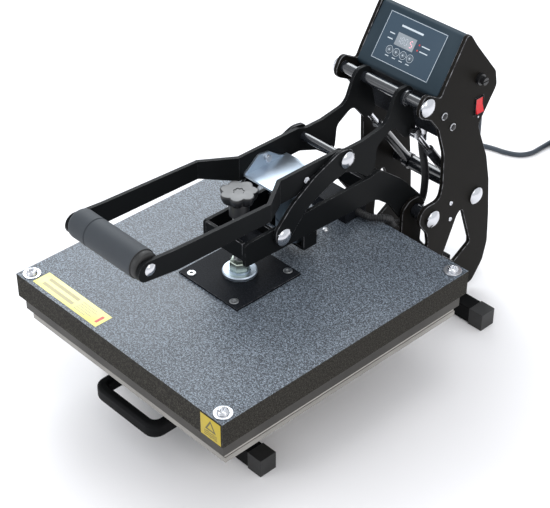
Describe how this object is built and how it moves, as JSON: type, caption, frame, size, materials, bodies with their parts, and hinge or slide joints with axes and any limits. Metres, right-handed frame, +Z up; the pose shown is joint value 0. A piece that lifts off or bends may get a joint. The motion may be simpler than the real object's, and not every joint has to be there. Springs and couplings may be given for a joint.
{
  "type": "clamshell heat press",
  "caption": "Clamshell heat press with a hinged heater, toggle lever, gas struts, pull-out lower plate and a tilted control box",
  "frame": {"origin": "middle of the footprint on the surface it stands on, without the power cord", "axes": "+Z up, +Y from the handle to the control box, +X to the side with the switch"},
  "size_m": [0.4, 1.0795, 0.4315],
  "materials": {
    "frame_black": "satin black paint",
    "lever_black": "semi-gloss black paint",
    "tube_black": "black powder coat",
    "shaft_black": "gloss black oxide",
    "chrome": "polished",
    "zinc": "blue-white zinc plate",
    "steel": "machined",
    "cover_paint": "textured black powder coat",
    "platen_dark": "dark coated aluminium",
    "plate_grey": "bead-blasted aluminium",
    "silicone": "pale silicone sponge",
    "insulation_wool": "ceramic wool",
    "panel_slate": "slate powder coat",
    "film_slate": "printed film",
    "display_window": "lit window",
    "board_green": "circuit board",
    "button_pale": "moulded",
    "black_plastic": "moulded",
    "red_plastic": "moulded, translucent",
    "black_rubber": "moulded rubber",
    "foam": "closed-cell foam",
    "cord_rubber": "cord sheath",
    "label_yellow": "printed label"
  },
  "bodies": {
    "frame": {"frame_plate_right": "frame_black", "frame_plate_left": "frame_black", "foot_tubes": "tube_black", "foot_pads": "black_rubber", "base_rails": "tube_black", "hinge_uprights": "frame_black", "top_shaft": "shaft_black", "hinge_shaft": "shaft_black", "rear_shaft": "shaft_black", "shaft_caps": "chrome", "control_panel": "panel_slate", "control_housing": "cover_paint", "panel_film": "film_slate", "display": "display_window", "circuit_board": "board_green", "switch_bezel": "black_plastic", "fuse_holder": "black_plastic", "side_screws": "chrome", "slide_rails": "steel", "conduit_gland": "chrome", "conduit": "black_rubber", "cord_gland": "black_plastic", "power_cord": "cord_rubber", "cord_coil": "cord_rubber", "plug": "black_plastic"},
    "drawer": {"lower_plate": "plate_grey", "silicone_pad": "silicone", "drawer_carriage": "tube_black", "drawer_handle": "tube_black"},
    "arm": {"arm_plates": "lever_black", "arm_cross_plates": "lever_black", "nut_block": "steel", "magnet_post": "steel", "electromagnet": "zinc", "link_shaft": "chrome", "mount_plate": "cover_paint", "cover_fasteners": "chrome", "cover": "cover_paint", "insulation": "insulation_wool", "heating_platen": "platen_dark", "wiring_box": "cover_paint", "warning_labels": "label_yellow", "swivel_flange": "zinc"},
    "pressure": {"pressure_screw": "steel", "star_knob": "black_plastic"},
    "lever": {"lever_plates": "lever_black", "grip_rod": "chrome", "foam_grip": "foam", "toggle_shaft": "shaft_black", "u_bracket": "zinc", "bracket_bolts": "chrome"},
    "link": {"toggle_links": "lever_black", "link_caps": "chrome"},
    "strut_cylinder": {"strut_cylinders": "shaft_black"},
    "strut_rod": {"strut_rods": "chrome"},
    "rocker": {"rocker_switch": "red_plastic"},
    "button_1": {"button_1": "button_pale"},
    "button_2": {"button_2": "button_pale"},
    "button_3": {"button_3": "button_pale"},
    "button_4": {"button_4": "button_pale"}
  },
  "joints": [
    {"name": "lever_hinge", "type": "hinge", "parent": "frame", "child": "lever", "pos_m": [0, 0.16175, 0.355], "axis": [-1, 0, 0], "range_deg": [0, 80], "deforming": ["conduit"]},
    {"name": "arm_hinge", "type": "hinge", "parent": "frame", "child": "arm", "pos_m": [0, 0.18775, 0.168], "axis": [-1, 0, 0], "range_deg": [0, 30.8]},
    {"name": "link_hinge", "type": "hinge", "parent": "arm", "child": "link", "pos_m": [0, -0.06425, 0.244], "axis": [-1, 0, 0], "range_deg": [-48.2, 0]},
    {"name": "strut_hinge", "type": "hinge", "parent": "frame", "child": "strut_cylinder", "pos_m": [0, 0.27875, 0.165], "axis": [-1, 0, 0], "range_deg": [-8.5, 0]},
    {"name": "strut_slide", "type": "slide", "parent": "strut_cylinder", "child": "strut_rod", "axis": [0, -0.6114, 0.7913], "range_m": [0, 0.0716]},
    {"name": "pressure_turn", "type": "hinge", "parent": "arm", "child": "pressure", "pos_m": [0, -0.09825, 0.238], "axis": [0, 0, 1], "range_deg": [-360, 360]},
    {"name": "drawer_slide", "type": "slide", "parent": "frame", "child": "drawer", "axis": [0, -1, 0], "range_m": [0, 0.25]},
    {"name": "rocker_tilt", "type": "hinge", "parent": "frame", "child": "rocker", "pos_m": [0.076, 0.26875, 0.315], "axis": [0, 1, 0], "range_deg": [0, 20]},
    {"name": "button_1_press", "type": "slide", "parent": "frame", "child": "button_1", "axis": [0, 0.8231, -0.5678], "range_m": [0, 0.0008], "stiffness_N_per_m": 400, "springref_m": -0.0005},
    {"name": "button_2_press", "type": "slide", "parent": "frame", "child": "button_2", "axis": [0, 0.8231, -0.5678], "range_m": [0, 0.0008], "stiffness_N_per_m": 400, "springref_m": -0.0005},
    {"name": "button_3_press", "type": "slide", "parent": "frame", "child": "button_3", "axis": [0, 0.8231, -0.5678], "range_m": [0, 0.0008], "stiffness_N_per_m": 400, "springref_m": -0.0005},
    {"name": "button_4_press", "type": "slide", "parent": "frame", "child": "button_4", "axis": [0, 0.8231, -0.5678], "range_m": [0, 0.0008], "stiffness_N_per_m": 400, "springref_m": -0.0005}
  ],
  "couplings": [
    {"joint": "arm_hinge", "follows": "lever_hinge", "ratio": 0.38285},
    {"joint": "link_hinge", "follows": "lever_hinge", "ratio": -0.59966},
    {"joint": "strut_hinge", "follows": "lever_hinge", "ratio": -0.10485},
    {"joint": "strut_slide", "follows": "lever_hinge", "m_per_rad": 0.051056}
  ]
}
